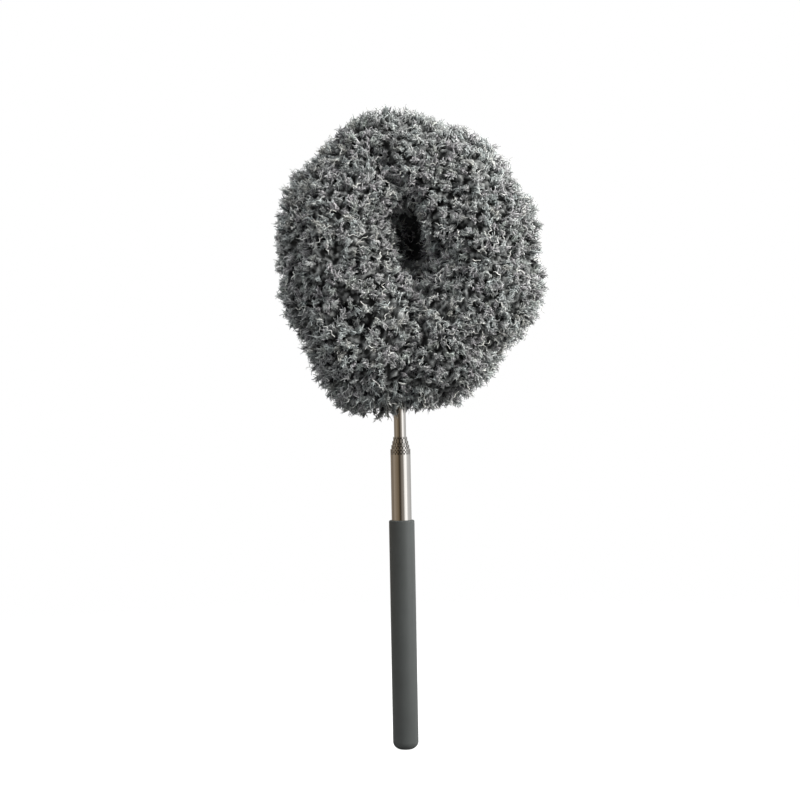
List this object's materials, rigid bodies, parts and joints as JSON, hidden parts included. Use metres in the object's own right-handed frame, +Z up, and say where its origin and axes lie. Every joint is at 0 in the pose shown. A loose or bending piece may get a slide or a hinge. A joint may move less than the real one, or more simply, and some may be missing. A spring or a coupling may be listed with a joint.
{
  "type": "telescopic duster",
  "caption": "Hand duster with a soft yarn-pile loop head on a telescopic steel pole with a rounded hand grip.",
  "frame": {"origin": "centre of the grip's flat end, the end away from the head", "axes": "+Z up the pole from the grip to the head; the head's loop lies in the XZ plane, with its bulk a little to +X of the pole; -Y is the front, the side that the socket's screws are driven from"},
  "size_m": [0.245, 0.117, 0.5745],
  "materials": {
    "polished_steel": "polished",
    "spring_steel": "satin",
    "phosphor_bronze": "satin",
    "grip_rubber": "matte",
    "moulded_plastic": "satin",
    "sheath_plastic": "satin",
    "knitted_backing": "matte",
    "yarn_pile": "matte",
    "elastic_band": "matte"
  },
  "bodies": {
    "handle": {"grip_sleeve": "grip_rubber", "tube_end_plug": "moulded_plastic", "tube_1": "polished_steel"},
    "section_2": {"tube_2": "polished_steel", "friction_sleeve_2": "phosphor_bronze"},
    "section_3": {"tube_3": "polished_steel", "friction_sleeve_3": "phosphor_bronze"},
    "section_4": {"tube_4": "polished_steel", "friction_sleeve_4": "phosphor_bronze"},
    "section_5": {"tube_5": "polished_steel", "friction_sleeve_5": "phosphor_bronze", "tip_insert": "moulded_plastic"},
    "head": {"thread_bush": "moulded_plastic", "socket_front_shell": "moulded_plastic", "socket_rear_shell": "moulded_plastic", "socket_screw_lower": "spring_steel", "socket_screw_upper": "spring_steel", "wire_loop": "spring_steel", "wire_ferrule_left": "spring_steel", "wire_ferrule_right": "spring_steel", "loop_sheath": "sheath_plastic", "cover_backing": "knitted_backing", "cover_pile": "yarn_pile", "closure_band": "elastic_band"}
  },
  "joints": [
    {"name": "slide_2", "type": "slide", "parent": "handle", "child": "section_2", "axis": [0, 0, 1], "range_m": [0, 0.2315]},
    {"name": "slide_3", "type": "slide", "parent": "section_2", "child": "section_3", "axis": [0, 0, 1], "range_m": [0, 0.2343]},
    {"name": "slide_4", "type": "slide", "parent": "section_3", "child": "section_4", "axis": [0, 0, 1], "range_m": [0, 0.2371]},
    {"name": "slide_5", "type": "slide", "parent": "section_4", "child": "section_5", "axis": [0, 0, 1], "range_m": [0, 0.2399]},
    {"name": "head_swivel", "type": "hinge", "parent": "section_5", "child": "head", "pos_m": [0, 0, 0.327], "axis": [0, 0, 1], "continuous": true}
  ]
}
